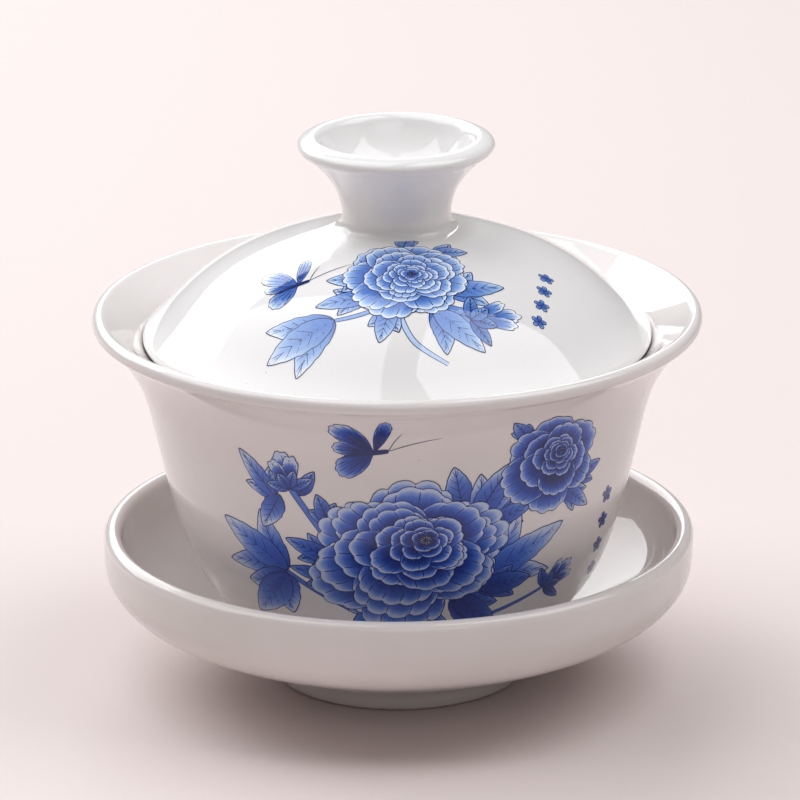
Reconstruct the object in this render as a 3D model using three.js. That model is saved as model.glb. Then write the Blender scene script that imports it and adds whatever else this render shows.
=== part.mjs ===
// A gaiwan: a covered tea bowl of glazed porcelain on its own saucer.
//
// Four fired pieces, each turned on a wheel, so each is one closed outline revolved about Z:
// the saucer, the bowl that stands in its well, the lid that rests in the bowl's flared mouth,
// and the knob that is stuck to the lid with slip before firing.
//
// Millimetres, +Z up. The origin is the centre of the saucer's foot ring, on the table.
// An outline is a list of [distance from the axis, height]. It starts on the axis under the
// piece, runs out and up the outer side, and comes back down the inner side.

import * as THREE from "three";

// Driving dimensions
const RIM_RADIUS = 50; // the bowl, to the outside of its flared lip
const RIM_HEIGHT = 61.6; // centre of the bowl's rounded lip
const BOWL_LIP = 1.2; // radius of that rounding
const BOWL_FOOT_RADIUS = 20.4;
const BOWL_FOOT_WIDTH = 2.6;
const SAUCER_RADIUS = 48.9;
const SAUCER_LIP = 1.5;
const SAUCER_LIP_HEIGHT = 24;
const SAUCER_FOOT_RADIUS = 21;
const SAUCER_FOOT_WIDTH = 3;
const WELL_RADIUS = 22; // the shallow well that keeps the bowl's foot centred
const WELL_FLOOR = 5.6;
const LID_RADIUS = 41.7;
const LID_EDGE = 1.1;
const LID_EDGE_HEIGHT = 58.4;
const KNOB_SEAT_HEIGHT = 77.1; // the flat on top of the lid that the knob stands on
const KNOB_BASE_RADIUS = 8.9;
const KNOB_RADIUS = 16.1;
const KNOB_EDGE_HEIGHT = 90.7; // of the widest point of its lip
const KNOB_TOP = 92; // of the crest of its lip
const FOOT_RECESS = 2.2; // depth of the hollow inside a foot ring
const FOOT_CHAMFER = 0.6;
const RESTING_GAP = 0.3; // left between the bowl's foot and the well that it stands in

const FACETS = 48; // round the axis
const LIP_STEPS = 6; // round each lip

const vectors = (outline) => outline.map(([radius, height]) => new THREE.Vector2(radius, height));
const pairs = (curve, steps) => curve.getPoints(steps).map(({ x, y }) => [x, y]);

// A smooth stretch of outline through a few points.
function smooth(steps, ...through) {
  return pairs(new THREE.SplineCurve(vectors(through)), steps);
}

// A round lip, whose outside reaches the given radius.
function lip(outside, height, rounding, fromDegrees, toDegrees) {
  const [from, to] = [fromDegrees, toDegrees].map(THREE.MathUtils.degToRad);
  const middle = outside - rounding;
  return pairs(new THREE.EllipseCurve(middle, height, rounding, rounding, from, to), LIP_STEPS);
}

// A turned foot ring with a shallow hollow inside it and a flat to stand on.
function footRing(radius, width, floor) {
  const inside = radius - width;
  return [
    [0, floor + FOOT_RECESS],
    [inside - 1.5, floor + FOOT_RECESS],
    [inside, floor + FOOT_CHAMFER],
    [inside + FOOT_CHAMFER, floor],
    [radius - FOOT_CHAMFER, floor],
    [radius, floor + FOOT_CHAMFER],
  ];
}

function turned(name, material, outline) {
  const geometry = new THREE.LatheGeometry(vectors(outline), FACETS);
  const mesh = new THREE.Mesh(geometry.rotateX(Math.PI / 2), material);
  mesh.name = name;
  return mesh;
}

const glaze = (color) => new THREE.MeshStandardMaterial({ color, roughness: 0.1, metalness: 0 });

// The saucer: a conical underside, a rounded shoulder, an upright wall with a thick lip, and
// a well in the floor for the bowl.
function saucer() {
  return turned("saucer", glaze(0xe4dfdc), [
    ...footRing(SAUCER_FOOT_RADIUS, SAUCER_FOOT_WIDTH, 0),
    ...smooth(9, [SAUCER_FOOT_RADIUS - 0.1, 3.2], [32, 7.5], [42, 11.7], [46, 14.4], [48.4, 17.8],
      [SAUCER_RADIUS - 0.1, 21]),
    ...lip(SAUCER_RADIUS, SAUCER_LIP_HEIGHT, SAUCER_LIP, 0, 180),
    ...smooth(8, [45.7, 21], [44.6, 17.9], [40.7, 14.4], [32, 10.3], [25, 7.9], [WELL_RADIUS + 0.7, 7.4]),
    [WELL_RADIUS, 6.4],
    [WELL_RADIUS - 0.8, WELL_FLOOR],
    [0, WELL_FLOOR],
  ]);
}

// The bowl: a foot ring, a round belly, a nearly straight wall, and a mouth that flares out.
function bowl() {
  const floor = WELL_FLOOR + RESTING_GAP;
  return turned("bowl", glaze(0xe9e5e2), [
    ...footRing(BOWL_FOOT_RADIUS, BOWL_FOOT_WIDTH, floor),
    ...smooth(13, [BOWL_FOOT_RADIUS - 0.2, 8.4], [25.1, 10.4], [30.2, 15], [34.5, 22], [38, 33.5],
      [40.5, 45], [42.2, 51], [44.8, 55.8], [48, 59.4]),
    ...lip(RIM_RADIUS, RIM_HEIGHT, BOWL_LIP, -50, 125),
    ...smooth(13, [45.5, 61.1], [43.4, 59.5], [41.6, 57.7], [40.1, 54.5], [38, 45], [35.5, 33.9],
      [32, 23.5], [27.4, 16.8], [21, 13], [12, 11.6]),
    [0, 11.3],
  ]);
}

// The lid: a shallow dome with a rounded edge, which rests on the inside of the bowl's flare.
function lidDome() {
  return turned("lid_dome", glaze(0xf0efec), [
    ...smooth(7, [0, 75.2], [9, 74.9], [17.3, 72.7], [25.3, 69.7], [31.6, 65.7], [37, 60.5], [39.2, 58]),
    ...lip(LID_RADIUS, LID_EDGE_HEIGHT, LID_EDGE, -100, 40),
    ...smooth(7, [38.4, 62.3], [33, 67.4], [26.3, 71.6], [18, 74.8], [12, 76.6], [10, KNOB_SEAT_HEIGHT]),
    [0, KNOB_SEAT_HEIGHT],
  ]);
}

// The knob: a small flared cup with a thick, soft lip, which also serves as a foot when the lid is put down on its back.
function lidKnob() {
  return turned("lid_knob", glaze(0xf0efec), [
    [0, KNOB_SEAT_HEIGHT],
    ...smooth(8, [KNOB_BASE_RADIUS, KNOB_SEAT_HEIGHT], [9, 80.6], [9.9, 83.5], [11.8, 86.3], [14, 88.5]),
    ...smooth(9, [15.1, 89.3], [15.8, 89.9], [KNOB_RADIUS, KNOB_EDGE_HEIGHT], [15.4, 91.5], [14.4, 91.9],
      [13.4, KNOB_TOP], [12.6, 91.6], [12, 90.7]),
    ...smooth(4, [11.2, 89], [8.9, 85.6], [4.5, 83]),
    [0, 82.5],
  ]);
}

const gaiwan = new THREE.Group();
const lid = new THREE.Group();
lid.add(lidDome(), lidKnob());
gaiwan.add(saucer(), bowl(), lid);

export default gaiwan;
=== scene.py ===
"""A gaiwan of blue and white porcelain: the visual model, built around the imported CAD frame."""
import random
from bisect import bisect
from math import atan2, cos, hypot, pi, radians, sin, tau

import bmesh
import bpy
from mathutils import Matrix, Vector


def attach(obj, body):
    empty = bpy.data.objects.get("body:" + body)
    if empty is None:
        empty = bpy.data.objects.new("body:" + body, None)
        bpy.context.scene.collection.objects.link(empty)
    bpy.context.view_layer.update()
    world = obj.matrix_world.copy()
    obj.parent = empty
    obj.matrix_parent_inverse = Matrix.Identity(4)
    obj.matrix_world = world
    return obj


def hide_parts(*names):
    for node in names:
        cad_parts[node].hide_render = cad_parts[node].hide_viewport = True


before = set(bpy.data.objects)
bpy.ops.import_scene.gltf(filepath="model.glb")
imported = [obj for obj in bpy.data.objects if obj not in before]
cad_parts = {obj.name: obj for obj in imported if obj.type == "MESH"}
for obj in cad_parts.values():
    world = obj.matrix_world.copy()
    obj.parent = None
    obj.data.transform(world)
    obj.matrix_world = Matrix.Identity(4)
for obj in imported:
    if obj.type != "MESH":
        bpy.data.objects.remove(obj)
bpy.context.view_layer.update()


# ---- Saucer ---------------------------------------------------------------------------------
# A deep dish of white porcelain, turned and then trimmed with a foot ring, with a shallow well
# in its floor that keeps the bowl centred. It is dipped in clear glaze, and the bottom of the
# foot ring is wiped clean before firing, so that it doesn't stick to the kiln shelf.

MM = 0.001
ROUND = 192  # steps of a full turn
MERGE_DISTANCE = 0.001 * MM  # points closer than this become one
GLAZE_IOR = 1.52
BARE_HEIGHT = 0.55  # of the wiped bottom of a foot ring, in mm


def smooth(*points, steps=8):
    """A smooth stretch of outline through a few points, eased so that reflections run evenly."""
    line = []
    for i in range(len(points) - 1):
        before, here, there, after = (
            Vector(points[min(max(j, 0), len(points) - 1)]) for j in range(i - 1, i + 3))
        for k in range(steps):
            t = k / steps
            line.append(here + t * ((there - before) / 2 + t * (
                before - 2.5 * here + 2 * there - after / 2
                + t * (1.5 * (here - there) + (after - before) / 2))))
    line.append(Vector(points[-1]))
    for _ in range(2 * steps):
        eased = [(a + 2 * b + c) / 4 for a, b, c in zip(line, line[1:], line[2:])]
        line = [line[0]] + eased + [line[-1]]
    return line


def lip(outside, height, rounding, start, end, steps=14):
    """A round lip, whose outside reaches the given radius; the angles are in degrees."""
    turn = [radians(start + (end - start) * k / steps) for k in range(steps + 1)]
    return [Vector((outside - rounding + rounding * cos(a), height + rounding * sin(a))) for a in turn]


def foot_ring(radius, width, floor, recess=2.2, chamfer=0.6):
    """A trimmed foot ring with a hollow inside it; it starts at the middle of the underside."""
    inside = radius - width
    hollow = [(0, floor + recess), (inside * 0.5, floor + recess), (inside - 2.4, floor + recess)]
    slope = smooth((inside - 1.4, floor + recess - 0.1), (inside - 0.3, floor + 1.4),
                   (inside, floor + chamfer), steps=5)
    ground = [(inside + chamfer, floor), (radius - chamfer, floor), (radius, floor + chamfer)]
    return [Vector(p) for p in hollow] + slope + [Vector(p) for p in ground]


def turned(name, outline, material, body):
    """A piece turned on the wheel: its outline of radius and height in mm, spun about Z."""
    bm = bmesh.new()
    wire = [bm.verts.new((radius * MM, 0, height * MM)) for radius, height in outline]
    edges = [bm.edges.new(pair) for pair in zip(wire, wire[1:])]
    bmesh.ops.spin(bm, geom=wire + edges, cent=(0, 0, 0), axis=(0, 0, 1), angle=tau, steps=ROUND,
                   use_merge=True)
    bmesh.ops.remove_doubles(bm, verts=bm.verts, dist=MERGE_DISTANCE)
    bmesh.ops.recalc_face_normals(bm, faces=bm.faces)
    for face in bm.faces:
        face.smooth = True
    mesh = bpy.data.meshes.new(name)
    bm.to_mesh(mesh)
    bm.free()
    mesh.materials.append(material)
    piece = bpy.data.objects.new(name, mesh)
    bpy.context.collection.objects.link(piece)
    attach(piece, body)
    return piece


class Wire:
    """A shader output. Arithmetic on wires adds Math nodes; node() adds any other node."""

    def __init__(self, tree, socket=None):
        self.tree, self.socket = tree, socket

    def node(self, kind, sockets=(), settings=(), output=0):
        made = self.tree.nodes.new("ShaderNode" + kind)
        for name, value in dict(settings).items():
            if name == "stops":
                ramp = made.color_ramp.elements
                while len(ramp) < len(value):
                    ramp.new(0.5)
                for stop, (position, shade) in zip(ramp, value):
                    stop.position, stop.color = position, (*shade, 1)
            else:
                setattr(made, name, value)
        for name, value in dict(sockets).items():
            if isinstance(value, Wire):
                self.tree.links.new(value.socket, made.inputs[name])
            else:
                made.inputs[name].default_value = value
        return Wire(self.tree, made.outputs[output] if made.outputs else None)

    def maths(self, operation, *values):
        return self.node("Math", enumerate(values), {"operation": operation})

    def __add__(self, other):
        return self.maths("ADD", self, other)

    def __sub__(self, other):
        return self.maths("SUBTRACT", self, other)

    def __rsub__(self, other):
        return self.maths("SUBTRACT", other, self)

    def __mul__(self, other):
        return self.maths("MULTIPLY", self, other)

    def __gt__(self, other):
        return self.maths("GREATER_THAN", self, other)

    def __lt__(self, other):
        return self.maths("LESS_THAN", self, other)

    __radd__, __rmul__ = __add__, __mul__

    def squared(self):
        return self.maths("POWER", self, 2)

    def ramp(self, low, high, to_low=0.0, to_high=1.0):
        """This value carried from one range to another, and held at its ends."""
        return self.node("MapRange", {"Value": self, "From Min": low, "From Max": high,
                                      "To Min": to_low, "To Max": to_high})

    def noise(self, scale, detail=2.0, roughness=0.5):
        """Noise at this place, whose scale is in cells to its unit."""
        return self.node("TexNoise", {"Vector": self, "Scale": scale, "Detail": detail,
                                      "Roughness": roughness})

    def mix(self, base, other):
        """One colour over another, by this value. 6 and 7 are a Mix node's colours."""
        return self.node("Mix", {0: self, 6: base, 7: other}, {"data_type": "RGBA"}, output=2)


def colour(red, green, blue):
    """A colour from its 0 to 255 screen values."""
    return tuple(((v / 255 + 0.055) / 1.055) ** 2.4 if v > 10 else v / 255 / 12.92
                 for v in (red, green, blue))


def glaze_surface(wire, place):
    """The bump of a dipped glaze: slow sags and a fine peel."""
    sags = place.noise(55, 2.0) * 0.1
    peel = place.noise(900, 1.0) * 0.0035
    return wire.node("Bump", {"Height": sags + peel, "Strength": 0.5, "Distance": 1.0 * MM})


def gloss(place):
    """The roughness of the glaze: nearly a mirror, with slightly duller smudges."""
    return place.noise(120, 4.0, 0.6).ramp(0.35, 0.75, 0.03, 0.07)


def porcelain(name, body_and_shade_colour, pooled_and_shade_colour, foot_floor, pools):
    """Clear glaze on white porcelain. Pools are (radius, height, reach) in mm, where it gathers."""
    material = bpy.data.materials.new(name)
    material.use_nodes = True
    tree = material.node_tree
    tree.nodes.clear()
    wire = Wire(tree)
    place = wire.node("TexCoord", output="Object")
    level = place.node("VectorMath", {0: place, 1: (1, 1, 0)}, {"operation": "MULTIPLY"})
    radius = level.node("VectorMath", {0: level}, {"operation": "LENGTH"}, output="Value")
    height = place.node("SeparateXYZ", {0: place}, output="Z")
    thickness = place.noise(38, 3.0).ramp(0.35, 0.7)
    for pool_radius, pool_height, reach in pools:
        off = (radius - pool_radius * MM).squared() + (height - pool_height * MM).squared()
        thickness = thickness + off.ramp(0, (reach * MM) ** 2, 1.6, 0.0)
    # For the bowl and saucer these two colours are set darker and pinker than the lid's: painted shade
    # and painted pink bounce light over the same white glaze.
    glazed = thickness.ramp(0, 2.2).mix((*body_and_shade_colour, 1), (*pooled_and_shade_colour, 1))
    # A few iron specks in the body, in patches.
    cells = place.node("TexVoronoi", {"Vector": place, "Scale": 260.0})
    speck = (cells < 0.045) * (place.noise(30) > 0.64)
    glazed = (speck * 0.4).mix(glazed, (*colour(112, 92, 74), 1))
    # The wiped bottom of the foot ring shows the bare, slightly toasted body.
    ragged = height + place.noise(700, 3.0) * (0.35 * MM)
    bare = ragged < (foot_floor + BARE_HEIGHT) * MM
    grain = place.noise(2600, 4.0)
    toasted = grain.ramp(0.3, 0.7).mix((*colour(214, 202, 186), 1), (*colour(186, 163, 138), 1))
    rough_normal = wire.node("Bump", {"Height": grain * bare, "Strength": 0.6, "Distance": 0.15 * MM,
                                      "Normal": glaze_surface(wire, place)})
    shader = wire.node("BsdfPrincipled", {
        "Base Color": bare.mix(glazed, toasted), "Roughness": gloss(place) + bare * 0.6,
        "Normal": rough_normal, "IOR": GLAZE_IOR})
    wire.node("OutputMaterial", {"Surface": shader})
    return material


SAUCER_RADIUS = 48.9
SAUCER_LIP_HEIGHT = 24
SAUCER_WELL = 5.6  # height of the well's floor
saucer_outline = (
    foot_ring(radius=21, width=3, floor=0)
    + smooth((20.8, 2.3), (20.9, 3.2), (22.2, 3.6), (32, 7.5), (42, 11.7), (46, 14.4), (48.4, 17.8),
             (48.8, 21), (SAUCER_RADIUS, SAUCER_LIP_HEIGHT))
    + lip(outside=SAUCER_RADIUS, height=SAUCER_LIP_HEIGHT, rounding=1.5, start=5, end=175)
    + smooth((45.9, SAUCER_LIP_HEIGHT), (45.7, 21), (44.6, 17.9), (40.7, 14.4), (32, 10.3), (25, 7.9),
             (22.7, 7.3), (22, 6.5), (21, SAUCER_WELL), (19, SAUCER_WELL))
    + [Vector((10, SAUCER_WELL)), Vector((0, SAUCER_WELL))])
# The saucer's glaze colours are darker and pinker than the lid's: painted shade and painted pink bounce
# light from the table, on the same white porcelain.
saucer = turned("saucer_dish", saucer_outline,
                porcelain("saucer_glaze", colour(228, 220, 218), colour(206, 200, 195), foot_floor=0,
                          pools=[(21.6, 3.2, 1.6), (22, 6.2, 2.5)]), "saucer")
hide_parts("saucer")


# ---- Bowl -----------------------------------------------------------------------------------
# The tea bowl, turned thin in white porcelain with a foot ring, a round belly and a mouth that
# flares out. It is glazed inside and out, apart from the bottom of its foot.

BOWL_RADIUS = 50
BOWL_LIP_HEIGHT = 61.6
BOWL_FOOT_RADIUS = 20.4
BOWL_FLOOR = 5.9  # height of the bottom of its foot ring
BOWL_INSIDE = 11.3  # height of the bottom of its inside
bowl_wall = smooth(
    (BOWL_FOOT_RADIUS, 7.6), (21.2, 8.6), (25.1, 10.4), (30.2, 15), (34.5, 22), (38, 33.5), (40.5, 45),
    (42.2, 51), (44.8, 55.8), (48, 59.6), (49.3, 60.5))
bowl_outline = (
    foot_ring(radius=BOWL_FOOT_RADIUS, width=2.6, floor=BOWL_FLOOR)
    + bowl_wall
    + lip(outside=BOWL_RADIUS, height=BOWL_LIP_HEIGHT, rounding=1.2, start=-40, end=120)
    + smooth((48, 62.6), (45.5, 61.1), (43.4, 59.5), (41.6, 57.7), (40.1, 54.5), (38, 45), (35.5, 33.9),
             (32, 23.5), (27.4, 16.8), (21, 13), (12, 11.5), (5, BOWL_INSIDE))
    + [Vector((0, BOWL_INSIDE))])
# The bowl's glaze colours are darker and pinker than the lid's: painted shade and painted pink bounce
# light from the table, on the same white porcelain.
bowl = turned("tea_bowl", bowl_outline,
              porcelain("bowl_glaze", colour(230, 223, 222), colour(211, 205, 201), foot_floor=BOWL_FLOOR,
                        pools=[(20.8, 8.2, 1.6)]), "bowl")
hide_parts("bowl")


# ---- Print on the bowl ----------------------------------------------------------------------
# A spray of peonies with a butterfly, a cobalt transfer under the glaze on the front of the bowl.
# It is drawn from many thin washed shapes, each over its own ink outline, laid one on another
# and wrapped on the wall. x runs round the wall and y up it, both in mm along the surface.

INK_LINE = 0.15  # width of an ink outline, in mm
FIRST_LIFT = 0.02  # of the lowest shape off the glaze, in mm
LEVEL_LIFT = 0.003  # of each level over the one below, in mm
WASH_LEVEL = 1  # of a wash over its own ink outline
VEIN_LEVEL = 1.5  # of creases and veins over that outline
FLOWER_LEVEL = 20  # of a full flower's lowest petals, over the twigs and leaves round it
WHORL_LEVELS = 8  # that each whorl of it takes up


def polar(origin, reach, turn, squash=1.0):
    """The point at a distance and an angle in radians from another, with its rise squashed."""
    return origin[0] + reach * cos(turn), origin[1] + squash * reach * sin(turn)


class Transfer:
    """Washed shapes on a wall. `place` turns x and y in mm into a point on it and its normal."""

    def __init__(self, place, seed):
        self.bm = bmesh.new()
        self.wash = self.bm.loops.layers.float_color.new("wash")
        self.grain = self.bm.loops.layers.uv.new("grain")
        self.place = place
        self.luck = random.Random(seed)
        self.normals = []

    def patch(self, shape, tone, across, along, level, ink=0.0):
        """A grid sheet: shape(u, v) gives x and y, tone(u, v) how pale it is; u is -1 to 1."""
        chance = self.luck.random()
        made = bmesh.ops.create_grid(self.bm, x_segments=across, y_segments=along, size=1)
        lift = (FIRST_LIFT + LEVEL_LIFT * level) * MM
        sheet = {}
        for vert in made["verts"]:
            sheet[vert] = (vert.co.x, (vert.co.y + 1) / 2)
            point, normal = self.place(*shape(*sheet[vert]))
            vert.co = point + normal * lift
            self.normals.append(normal)
        front = self.normals[-1]
        for face in {face for vert in made["verts"] for face in vert.link_faces}:
            face.smooth = True
            face.normal_update()
            if face.normal.dot(front) < 0:
                face.normal_flip()
            for loop in face.loops:
                u, v = sheet[loop.vert]
                loop[self.wash] = (tone(u, v), ink, chance, 1)
                loop[self.grain].uv = (u + 7 * chance, v)

    def stroke(self, line, width, level, taper=0.35, tone=0.0, ink=1.0, steps=8):
        """A brush stroke through a few points, widest in its first half."""
        points = smooth(*line, steps=4) if len(line) > 2 else [Vector(p) for p in line]

        def shape(u, v):
            at = v * (len(points) - 1)
            i = min(int(at), len(points) - 2)
            here = points[i].lerp(points[i + 1], at - i)
            side = (points[i + 1] - points[i]).normalized()
            half = 0.5 * width * (taper + (1 - taper) * sin(pi * min(1, 0.25 + 0.75 * v)))
            return here.x - side.y * half * u, here.y + side.x * half * u
        self.patch(shape, lambda u, v: tone, 1, max(steps, len(points) - 1), level, ink)

    def petal(self, centre, squash, facing, half_angle, inner, outer, level, scallops, deep=0.13,
              pale=1.0):
        """A frilled petal that fans out from the centre of its flower, between two radii."""
        phase = self.luck.uniform(-0.25, 0.25)
        skew = self.luck.uniform(-0.1, 0.1)
        turns = radians(facing), radians(half_angle)

        def shape(u, v, grow=0.0):
            frill = abs(cos(scallops * pi * (u + phase) / 2)) ** 0.5
            crown = max(0.0, cos(0.47 * pi * u)) ** 0.3 * (1 - deep * (1 - frill)) * (1 + skew * u)
            reach = inner + (outer - inner) * v * crown + grow * (2 * v - 1)
            angle = turns[0] + turns[1] * u * (0.78 + 0.22 * sin(pi * v)) + grow * u / max(reach, 0.6)
            return polar(centre, reach, angle, squash)

        def paler(u, v):
            return 0.92 * pale * max(0.0, 1.3 * v - 0.3) ** 2.6 + 0.14 * v + 0.14 * abs(u) ** 4
        across = max(8, 5 * scallops)
        along = max(4, round((outer - inner) / 0.65))
        self.patch(lambda u, v: shape(u, v, INK_LINE), lambda u, v: 0.0, across, along, level, 1.0)
        self.patch(shape, paler, across, along, level + WASH_LEVEL)
        # A short crease runs in from each dip of the frill.
        for k in range(-scallops, scallops + 1):
            cusp = (2 * k + 1) / scallops - phase
            if abs(cusp) < 0.8:
                depth = self.luck.uniform(0.5, 0.72)
                line = [shape(cusp, 1.0), shape(cusp * 0.97, (1 + depth) / 2), shape(cusp * 0.9, depth)]
                self.stroke(line, 0.17, level + VEIN_LEVEL, steps=3)

    def whorl(self, centre, squash, radius, petals, start, scallops, level, pale):
        """A ring of petals. Neighbours overlap, so they take turns on four pairs of levels."""
        for k in range(petals):
            facing = start + 360 * k / petals + self.luck.uniform(-8, 8)
            half_angle = 180 / petals * self.luck.uniform(1.3, 1.62)
            outer = radius * (1 + self.luck.uniform(-0.12, 0.12))
            frills = max(1, scallops + self.luck.choice((-1, 0, 0, 1)))
            pair = k % 3 if k < petals - 1 else 3
            self.petal(centre, squash, facing, half_angle, radius * 0.42, outer, level + 2 * pair, frills,
                       pale=pale)

    def peony(self, centre, radius, squash, drift, whorls, pale=1.0, stamens=11):
        """A full flower, from its outermost whorl to the dark heart with its stamens."""
        start = self.luck.uniform(0, 360)
        level = FLOWER_LEVEL
        for k, (share, petals, scallops) in enumerate(whorls):
            part = k / (len(whorls) - 1)
            middle = (centre[0] + drift[0] * part, centre[1] + drift[1] * part)
            self.whorl(middle, squash, radius * share, petals, start + 47 * k, scallops, level, pale)
            level += WHORL_LEVELS
        heart = (centre[0] + drift[0], centre[1] + drift[1])
        for k in range(stamens):
            turn = tau * k / stamens + self.luck.uniform(-0.2, 0.2)
            tip = polar(heart, radius * self.luck.uniform(0.07, 0.13), turn, squash)
            self.stroke([heart, tip], 0.2, level, steps=2)

    def leaflet(self, base, tip, width, level, bend=0.0, pale=1.0, teeth=5):
        """A pointed leaf: two washed halves, a midrib and side veins."""
        base, tip = Vector(base), Vector(tip)
        run = tip - base
        side = Vector((-run.y, run.x)).normalized()

        def shape(u, v, grow=0.0):
            notch = 1 - 0.1 * (1 - (teeth * v) % 1) * (v > 0.4)
            half = 0.5 * width * sin(pi * v ** 0.85) ** 0.8 * notch
            along = v + grow * (2 * v - 1) / run.length
            bow = bend * width * sin(pi * v)
            point = base + run * along + side * (bow + u * (half + grow))
            return point.x, point.y

        def paler(u, v):
            return pale * (0.2 + 0.55 * v * v + (0.35 if u > 0.01 else 0.15) * abs(u) * v)
        along = max(8, round(run.length / 0.7))
        self.patch(lambda u, v: shape(u, v, INK_LINE), lambda u, v: 0.0, 4, along, level, 1.0)
        self.patch(shape, paler, 6, along, level + WASH_LEVEL)
        self.stroke([shape(0, 0.0), shape(0, 0.5), shape(0, 0.98)], 0.2, level + VEIN_LEVEL)
        for k in range(2, 6):
            v = k / 6.5
            for u in (-0.8, 0.8):
                vein = [shape(0, v), shape(u, min(0.98, v + 0.16))]
                self.stroke(vein, 0.12, level + VEIN_LEVEL, steps=3)

    def leaf(self, base, tip, spread, level, width=0.42, pale=1.0, side_leaflets=0.72):
        """A three-part peony leaf: two side leaflets under a longer middle one."""
        run = Vector(tip) - Vector(base)
        for side in (-1, 1):
            a = radians(side * spread)
            away = Vector((run.x * cos(a) - run.y * sin(a), run.x * sin(a) + run.y * cos(a)))
            self.leaflet(base, Vector(base) + away * side_leaflets, run.length * width * 0.85,
                         level + 1 + side, bend=-0.15 * side, pale=pale)
        self.leaflet(base, tip, run.length * width, level + 4, pale=pale)

    def twig(self, line, width, level, pale=0.5):
        """A twig: an inked line with a paler middle."""
        self.stroke(line, width + 2 * INK_LINE, level, taper=0.7, steps=14)
        self.stroke(line, width, level + WASH_LEVEL, taper=0.7, tone=pale, ink=0.0, steps=14)

    def bud(self, base, tip, width, level, pale=1.0):
        """A closed bud: a back petal, two side petals and the small leaves that hold them."""
        run = Vector(tip) - Vector(base)
        facing = atan2(run.y, run.x) * 180 / pi
        for turn, share, spread in ((0, 1.0, 24), (-17, 0.88, 22), (19, 0.82, 20)):
            self.petal(base, 1.0, facing + turn, spread * width, 0.15 * run.length, run.length * share,
                       level, scallops=3, deep=0.14, pale=pale)
            level += 2
        for turn, share in ((-75, 0.62), (70, 0.55), (-28, 0.48), (24, 0.44)):
            end = polar(base, share * run.length, radians(facing + turn))
            self.leaflet(base, end, run.length * 0.26, level, pale=pale * 0.5, teeth=1)
            level += 2

    def butterfly(self, head, heading, size, level, pale=0.7):
        """A butterfly from the side: four wings, which are frilled petals, a body and two feelers."""
        wings = ((206, 0.78, 34, 1.1), (64, 0.86, 17, 1.1), (160, 0.72, 24, 1.6), (126, 1.0, 25, 1.9))
        along_body = radians(heading)
        root = polar(head, -0.24 * size, along_body)
        for turn, share, spread, light in wings:
            self.petal(root, 1.0, heading + turn, spread, 0.06 * size, size * share, level,
                       scallops=5, deep=0.07, pale=pale * light)
            for k in (-0.6, -0.2, 0.2, 0.6):
                a = radians(heading + turn + spread * k)
                vein = [polar(root, 0.2 * size, a), polar(root, 0.85 * share * size, a)]
                self.stroke(vein, 0.16, level + VEIN_LEVEL, steps=5)
            level += 2
        tail = polar(head, -0.75 * size, along_body)
        self.stroke([head, root, tail], 0.11 * size, level, taper=0.3)
        for turn, reach in ((8, 0.95), (52, 0.5)):
            a = radians(heading + turn)
            x, y = polar(head, 0.5 * reach * size, a)
            self.stroke([head, (x, y + 0.05 * size), polar(head, reach * size, a)], 0.14, level)

    def blossom(self, centre, radius, level):
        """A tiny five-petalled blossom. The last petal lies over both of its neighbours."""
        for k in range(5):
            pair = k % 2 if k < 4 else 2
            self.petal(centre, 1.0, 90 + 72 * k, 30, 0.15 * radius, radius, level + 2 * pair,
                       scallops=1, deep=0.0, pale=0.5)

    def finish(self, name, stops, body):
        """Makes the object that rides its body, with cobalt that follows the given stops."""
        mesh = bpy.data.meshes.new(name)
        self.bm.to_mesh(mesh)
        self.bm.free()
        mesh.normals_split_custom_set_from_vertices(self.normals)
        mesh.materials.append(cobalt(name + "_cobalt", stops))
        piece = bpy.data.objects.new(name, mesh)
        bpy.context.collection.objects.link(piece)
        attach(piece, body)


def cobalt(name, stops):
    """Cobalt seen through the glaze: the stops run from full strength to the palest wash."""
    material = bpy.data.materials.new(name)
    material.use_nodes = True
    tree = material.node_tree
    tree.nodes.clear()
    wire = Wire(tree)
    shades = wire.node("Attribute", settings={"attribute_name": "wash"})
    tone, ink, chance = (shades.node("SeparateColor", {0: shades}, output=k) for k in range(3))
    grain = wire.node("UVMap", settings={"uv_map": "grain"})
    stretched = grain.node("VectorMath", {0: grain, 1: (9, 1.2, 1)}, {"operation": "MULTIPLY"})
    streaks = stretched.noise(1.0, 3.0)
    place = wire.node("TexCoord", output="Object")
    mottle = place.noise(1400, 3.0)
    strength = tone + (streaks - 0.5) * 0.22 + (mottle - 0.5) * 0.12 + (chance - 0.5) * 0.12
    washed = strength.node("ValToRGB", {0: strength}, {"stops": stops})
    inked = ink.mix(washed, (*colour(26, 40, 100), 1))
    shader = wire.node("BsdfPrincipled", {"Base Color": inked, "Roughness": gloss(place),
                                          "Normal": glaze_surface(wire, place), "IOR": GLAZE_IOR})
    wire.node("OutputMaterial", {"Surface": shader})
    return material


def on_outline(outline):
    """A function that gives the point of an outline, and its normal, at a length along it."""
    lengths = [0.0]
    for a, b in zip(outline, outline[1:]):
        lengths.append(lengths[-1] + (b - a).length)

    def at(length):
        i = min(max(bisect(lengths, length) - 1, 0), len(outline) - 2)
        a, b = outline[i], outline[i + 1]
        run = (b - a).normalized()
        return a + run * (length - lengths[i]), Vector((run.y, -run.x))
    return at


wall_at = on_outline(bowl_wall)


def on_wall(x, y):
    """The bowl's wall: y is the length up it from the foot, and x is 0 at the front."""
    point, normal = wall_at(y)
    turn = x / point.x
    across, towards = sin(turn), -cos(turn)
    return (Vector((point.x * across, point.x * towards, point.y)) * MM,
            Vector((normal.x * across, normal.x * towards, normal.y)))


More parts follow.
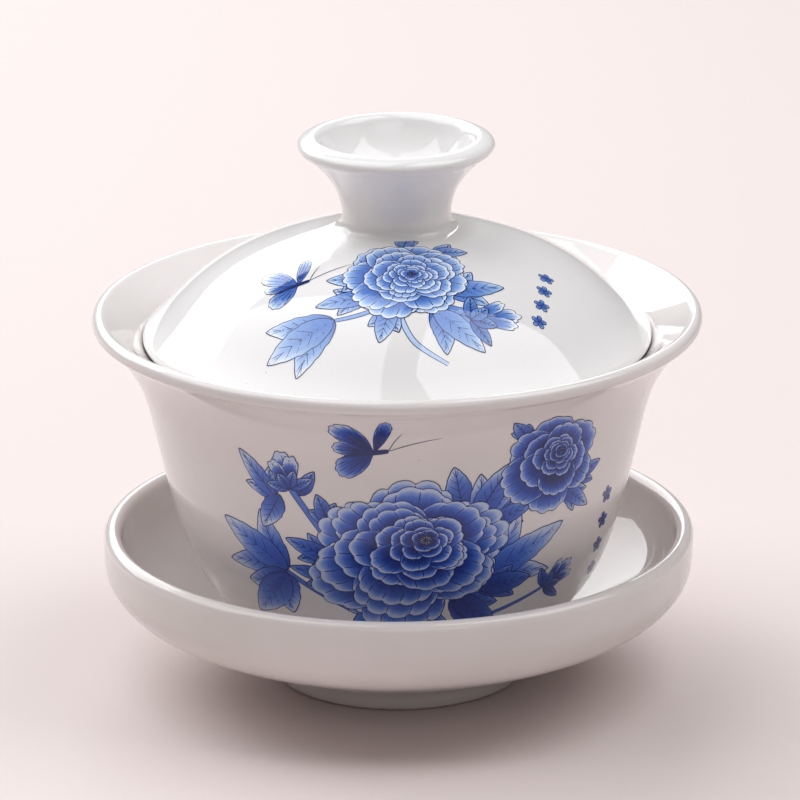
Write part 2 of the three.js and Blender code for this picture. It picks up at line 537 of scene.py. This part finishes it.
# The whorls of a full flower from the outside in: share of its radius, petals, scallops of each.
WHORLS = ((1.0, 6, 5), (0.9, 6, 5), (0.74, 5, 5), (0.58, 6, 4), (0.45, 6, 3), (0.34, 6, 2), (0.24, 5, 2),
          (0.15, 4, 1))
FEWER_WHORLS = [whorl for whorl in WHORLS if whorl[0] not in (0.9, 0.58)]
spray = Transfer(on_wall, seed=5)
spray.twig([(-21, 29), (-17, 26.4), (-11, 23), (-4, 19)], 0.7, 0)
spray.twig([(-17.6, 43.5), (-15.4, 40.5), (-12.5, 36)], 0.9, 0)
spray.twig([(12, 38), (16, 41.5), (22, 44.5)], 0.9, 0)
spray.twig([(10, 17.5), (18, 19.6), (26, 22.4)], 0.5, 0)
spray.leaf((-18.5, 28), (-31, 35.5), 34, 4, width=0.36, pale=1.4, side_leaflets=0.8)
spray.leaf((-18.5, 27), (-24.5, 17.5), 38, 12, width=0.55, pale=1.3)
spray.leaf((-20.5, 41.5), (-27, 49.5), 30, 4, width=0.3, pale=1.4, side_leaflets=0.55)
spray.leaflet((-19.6, 42), (-22.8, 35.6), 4.2, 8, pale=1.5)
spray.bud((-17.8, 43.6), (-19.6, 50.6), 1.1, 12, pale=2.2)
spray.leaflet((-16.2, 42.5), (-13.6, 47.2), 2.6, 8)
spray.leaf((-11, 37.5), (-13.2, 43), 34, 4, width=0.5)
spray.leaf((-10, 31), (-18.6, 34), 24, 4, width=0.36)
spray.leaf((-8, 27), (-18, 28.6), 20, 4, width=0.3, pale=0.8)
spray.leaflet((10.5, 40), (9, 48.4), 4.4, 4, pale=1.2)
spray.leaf((12.4, 38.5), (18.6, 48), 26, 8, width=0.4, pale=1.4)
spray.leaf((14, 37), (23, 40), 22, 4, width=0.34)
spray.leaf((13, 27), (29, 34.6), 30, 4, width=0.3, pale=1.5, side_leaflets=0.75)
spray.leaf((13, 25), (22.5, 25.5), 26, 10, width=0.45, pale=0.7)
spray.leaf((-1, 24), (-7.5, 15.5), 30, 4, width=0.5)
spray.leaf((3, 22), (5, 13), 34, 4, width=0.5)
spray.leaf((9, 24), (16, 16), 30, 4, width=0.45, pale=0.7)
spray.leaf((31, 42), (37.6, 44), 32, 4, width=0.4)
spray.leaf((29, 41), (34.8, 36.2), 26, 10, width=0.4, pale=1.3)
spray.leaf((22, 52), (19, 57), 24, 4, width=0.5)
spray.bud((25.6, 22.2), (32, 26), 0.7, 4, pale=1.6)
spray.peony((26.8, 47.2), 9.8, 1.0, (1.2, 1.4), FEWER_WHORLS)
spray.peony((1.4, 32.2), 17, 0.8, (3.0, 3.0), WHORLS, pale=1.1)
spray.butterfly((-1.5, 52.3), 10, 9.4, 4)
for step in range(4):
    spray.blossom((41.2 - 0.5 * step, 36 - 5 * step), 1.5, 4)
spray.finish("bowl_print", [
    (0.0, colour(14, 30, 98)), (0.25, colour(38, 68, 160)), (0.55, colour(74, 110, 200)),
    (0.8, colour(134, 158, 218)), (1.0, colour(186, 197, 226))], "bowl")


# ---- Lid ------------------------------------------------------------------------------------
# A shallow dome of the same white porcelain, turned on the wheel, which rests on the inside of the
# bowl's flare. It has no foot to leave bare, so the glaze runs all over it.

KNOB_SEAT = 77.1  # height of the flat on top that the knob stands on
NO_FOOT = -100  # a height in mm that is below everything, so nothing is left bare
lid_top = smooth((41.5, 59.2), (38.4, 62.3), (33, 67.4), (26.3, 71.6), (18, 74.8), (12, 76.6), (10, 77.0),
                 (8, KNOB_SEAT))
lid_outline = (
    smooth((0, 75.2), (5, 75.2), (9, 74.8), (17.3, 72.7), (25.3, 69.7), (31.6, 65.7), (37, 60.5),
           (39.4, 58))
    + lip(outside=41.7, height=58.4, rounding=1.1, start=-110, end=35)
    + lid_top
    + [Vector((0, KNOB_SEAT))])
lid_glaze = porcelain("lid_glaze", colour(237, 234, 234), colour(226, 223, 221), foot_floor=NO_FOOT,
                      pools=[(10.5, 77, 3)])
lid = turned("lid_dome_glazed", lid_outline, lid_glaze, "lid")
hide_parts("lid_dome")


# ---- Print on the lid -----------------------------------------------------------------------
# The same kind of transfer on the front half of the dome, in a thinner and brighter wash. x and
# y run along the surface from the middle of the lid, so it is drawn as seen from above.

dome_at = on_outline([Vector((0, KNOB_SEAT))] + lid_top[::-1])


def on_dome(x, y):
    """The top of the lid: the distance from its middle is measured along the surface."""
    point, normal = dome_at(hypot(x, y))
    turn = atan2(y, x)
    across, towards = cos(turn), sin(turn)
    return (Vector((point.x * across, point.x * towards, point.y)) * MM,
            Vector((-normal.x * across, -normal.x * towards, -normal.y)))


spray = Transfer(on_dome, seed=11)
spray.twig([(-3, -28), (-7, -29.6), (-11.5, -29.6)], 0.7, 0)
spray.twig([(0, -28), (1.8, -34), (4.4, -36.4), (8.8, -38.6)], 0.8, 0, pale=0.8)
spray.twig([(6, -27), (9.5, -28.2), (12.6, -29)], 0.5, 0)
spray.leaf((-10.5, -29.6), (-22.6, -34.6), 30, 4, width=0.44, pale=1.2, side_leaflets=0.9)
spray.leaf((-4, -21), (-11.4, -19.6), 34, 4, width=0.5)
spray.leaf((-4, -25), (-13.4, -25.8), 26, 4, width=0.4)
spray.leaf((6, -13), (11.4, -11.4), 34, 4, width=0.5)
spray.leaf((1, -12), (2.2, -7.8), 34, 4, width=0.6)
spray.leaf((8, -23.5), (17.6, -19.6), 34, 4, width=0.4)
spray.leaf((6, -28), (15, -35), 36, 4, width=0.4, side_leaflets=0.8)
spray.leaf((-1, -28), (-3, -35), 30, 4, width=0.5)
spray.bud((12.4, -29), (20.8, -25.2), 0.75, 4, pale=1.2)
spray.peony((1.6, -20.6), 11, 0.86, (0.8, 0.8), WHORLS)
spray.butterfly((-14.4, -18.6), 12, 8, 4)
for step in range(4):
    spray.blossom((25 - 0.3 * step, -12.4 - 4.2 * step), 1.3, 4)
spray.finish("lid_print", [
    (0.0, colour(54, 90, 172)), (0.28, colour(90, 130, 204)), (0.6, colour(146, 178, 228)),
    (0.86, colour(200, 219, 248)), (1.0, colour(234, 236, 243))], "lid")


# ---- Knob -----------------------------------------------------------------------------------
# A small flared porcelain cup, turned by itself and stuck to the lid with slip. Glaze fills the
# corner round its base, so it meets the dome in a soft fillet.

KNOB_HOLLOW = 82.5  # height of the bottom of its hollow
knob_outline = (
    [Vector((0, KNOB_SEAT))]
    + smooth((10.2, 76.9), (9.5, 77.3), (9.05, 78), (8.9, 79), (9.05, 80.7), (9.9, 83.5), (11.8, 86.3),
             (14, 88.5), (15.1, 89.3), (15.8, 89.9), (16.2, 90.7), (15.6, 91.5), (14.5, 91.95),
             (13.4, 92.1), (12.5, 91.6), (12, 90.7), (11.2, 89), (8.9, 85.6), (4.5, 83),
             (1.5, KNOB_HOLLOW))
    + [Vector((0, KNOB_HOLLOW))])
knob = turned("lid_knob_glazed", knob_outline, lid_glaze, "lid")
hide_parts("lid_knob")


# ---- Table, light and camera ----------------------------------------------------------------
# A plain pale table top. Two softboxes overhead and one behind on the left leave their shapes in
# the glaze, a weak one fills the front, and a long lens looks down at about 18 degrees.

TABLE_SIZE = 6  # metres
SOFTBOX_TINT = (0.965, 0.985, 1)
GAIWAN_MIDDLE = Vector((0, 0, 0.05))

bpy.ops.mesh.primitive_plane_add(size=TABLE_SIZE)
table = bpy.context.object
table.name = "table_top"
table_paint = bpy.data.materials.new("table_paint")
table_paint.use_nodes = True
table_shader = table_paint.node_tree.nodes["Principled BSDF"]
table_shader.inputs["Base Color"].default_value = (*colour(220, 207, 204), 1)
table_shader.inputs["Roughness"].default_value = 0.7
table.data.materials.append(table_paint)


def softbox(name, position, size, watts):
    """A rectangular area light that faces the middle of the gaiwan; lengths are in metres."""
    light = bpy.data.lights.new(name, "AREA")
    light.shape = "RECTANGLE"
    light.size, light.size_y = size
    light.energy = watts
    light.color = SOFTBOX_TINT
    lamp = bpy.data.objects.new(name, light)
    lamp.location = position
    lamp.rotation_euler = (Vector(position) - GAIWAN_MIDDLE).to_track_quat("Z", "Y").to_euler()
    bpy.context.collection.objects.link(lamp)


softbox("overhead_left", (-0.5, 0.1, 1.0), (0.95, 1.1), 8.0)
softbox("overhead_right", (0.55, -0.05, 1.0), (0.75, 0.9), 6.4)
softbox("back_left", (-0.5, 0.95, 0.66), (1.5, 0.6), 10)
softbox("front_fill", (0.3, -1.5, 0.9), (1.2, 0.6), 2.8)

world = bpy.data.worlds.new("room")
world.use_nodes = True
world.node_tree.nodes["Background"].inputs["Color"].default_value = (1, 0.98, 0.97, 1)
world.node_tree.nodes["Background"].inputs["Strength"].default_value = 0.19
bpy.context.scene.world = world
bpy.context.scene.view_settings.view_transform = "Standard"

CAMERA_SIDE = 0.0004  # right of the gaiwan's axis, in metres
CAMERA_DISTANCE = 0.9
CAMERA_HEIGHT = 0.3445
AIM_HEIGHT = 0.0468
CAMERA_ROLL = -0.35  # degrees round the line of sight
camera = bpy.data.cameras.new("camera")
camera.sensor_width = 36
camera.lens = 259.1
viewer = bpy.data.objects.new("camera", camera)
viewer.location = (CAMERA_SIDE, -CAMERA_DISTANCE, CAMERA_HEIGHT)
aim = Vector((CAMERA_SIDE, 0, AIM_HEIGHT))
tilt = Matrix.Rotation(radians(CAMERA_ROLL), 3, "Z")
viewer.rotation_euler = ((viewer.location - aim).to_track_quat("Z", "Y").to_matrix() @ tilt).to_euler()
bpy.context.collection.objects.link(viewer)
bpy.context.scene.camera = viewer
